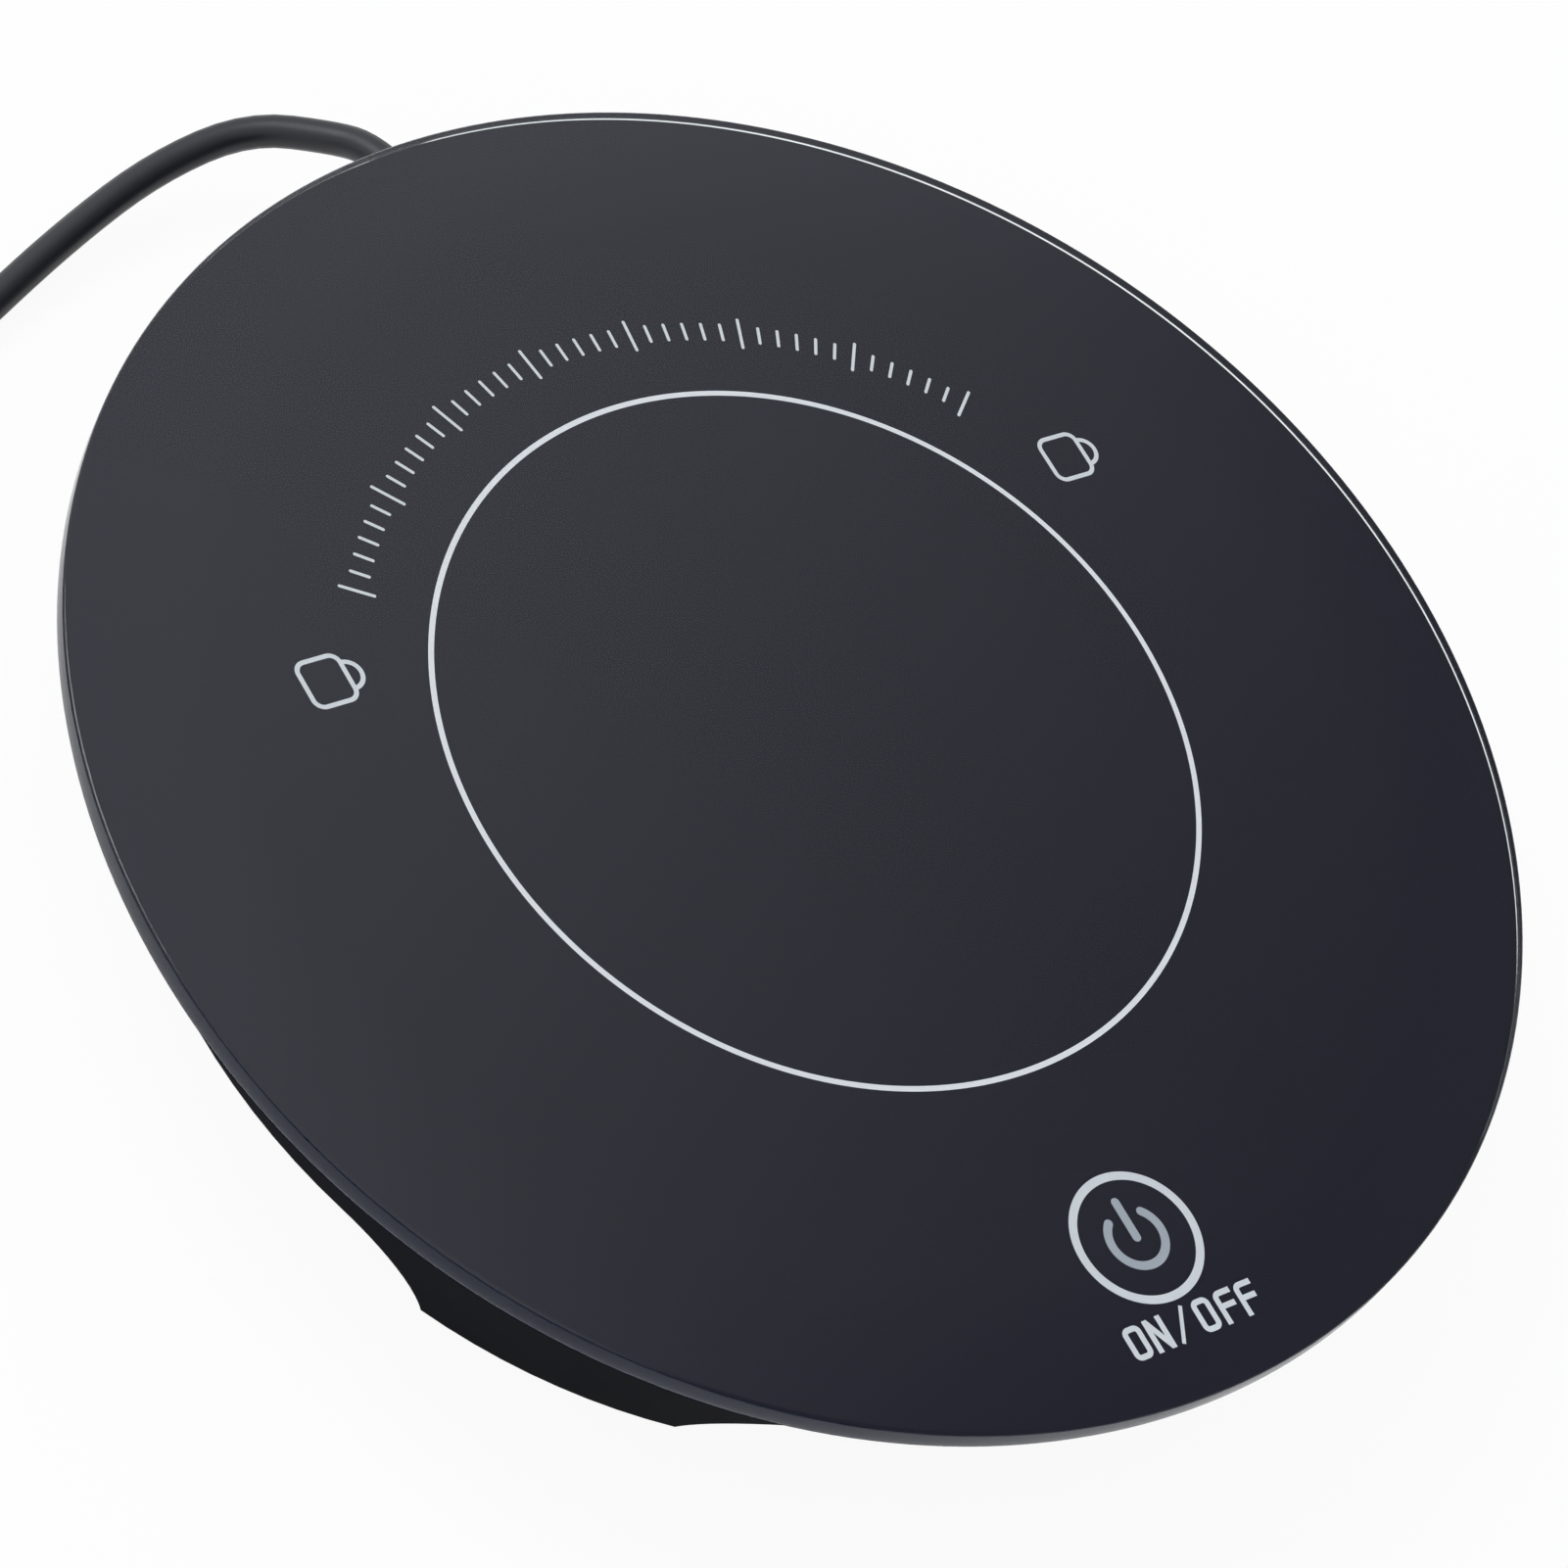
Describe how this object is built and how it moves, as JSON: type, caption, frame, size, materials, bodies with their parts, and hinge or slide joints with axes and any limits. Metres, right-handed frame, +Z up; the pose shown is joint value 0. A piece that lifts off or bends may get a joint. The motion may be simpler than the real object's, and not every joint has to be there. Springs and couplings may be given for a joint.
{
  "type": "electric mug warmer",
  "caption": "Low round electric mug warmer: dark glass hotplate with a touch key on a tapered plastic base with feet, and a USB lead.",
  "frame": {"origin": "middle of the base on the surface it stands on, the lead left out", "axes": "+Z up, touch key towards -Y, lead leaves towards +Y, +X to the right seen from the key"},
  "size_m": [0.22, 0.1783, 0.024],
  "materials": {
    "tempered_glass": "polished clear glass, bevelled rim",
    "black_ink": "black print on the back of the glass",
    "pale_ink": "pale grey print on the back of the glass",
    "adhesive": "black foam adhesive",
    "black_plastic": "black satin moulded plastic",
    "black_rubber": "matt black rubber",
    "zinc_steel": "zinc-plated steel",
    "aluminium_sheet": "plain aluminium sheet",
    "heater_foil": "amber polyimide film",
    "insulation_felt": "pressed mineral felt",
    "spring_steel": "bare spring steel",
    "sensor_epoxy": "black epoxy bead",
    "ceramic_white": "white ceramic",
    "board_green": "green solder mask",
    "clear_guide": "milky translucent plastic",
    "chip_black": "black moulding compound",
    "connector_white": "natural nylon",
    "wire_red": "red insulation",
    "cord_black": "smooth soft black jacket",
    "strap_black": "woven hook-and-loop strap",
    "plug_steel": "nickel-plated steel sheet",
    "tongue_white": "white insulator",
    "contact_gold": "gold-plated contacts"
  },
  "bodies": {
    "root": {"glass_plate": "tempered_glass", "back_print": "black_ink", "printed_marks": "pale_ink", "bond_ring": "adhesive", "upper_frame": "black_plastic", "base_housing": "black_plastic", "rubber_feet": "black_rubber", "housing_screws": "zinc_steel", "heat_spreader": "aluminium_sheet", "heater_element": "heater_foil", "insulation_pad": "insulation_felt", "heater_bracket": "spring_steel", "bracket_screws": "zinc_steel", "thermistor": "sensor_epoxy", "sensor_leads": "cord_black", "thermal_fuse": "ceramic_white", "control_board": "board_green", "board_screws": "zinc_steel", "light_guide": "clear_guide", "power_led": "ceramic_white", "control_chip": "chip_black", "power_transistor": "chip_black", "board_capacitor": "aluminium_sheet", "lead_connector": "connector_white", "touch_spring": "spring_steel", "heater_leads": "wire_red", "supply_wires": "wire_red", "strain_relief": "cord_black", "cord_tail": "cord_black", "cord_clamp": "black_plastic", "clamp_screws": "zinc_steel", "power_cord": "cord_black", "cord_coil": "cord_black", "plug_lead": "cord_black", "cord_tie": "strap_black", "plug_body": "cord_black", "plug_shell": "plug_steel", "plug_tongue": "tongue_white", "plug_contacts": "contact_gold"}
  },
  "joints": []
}
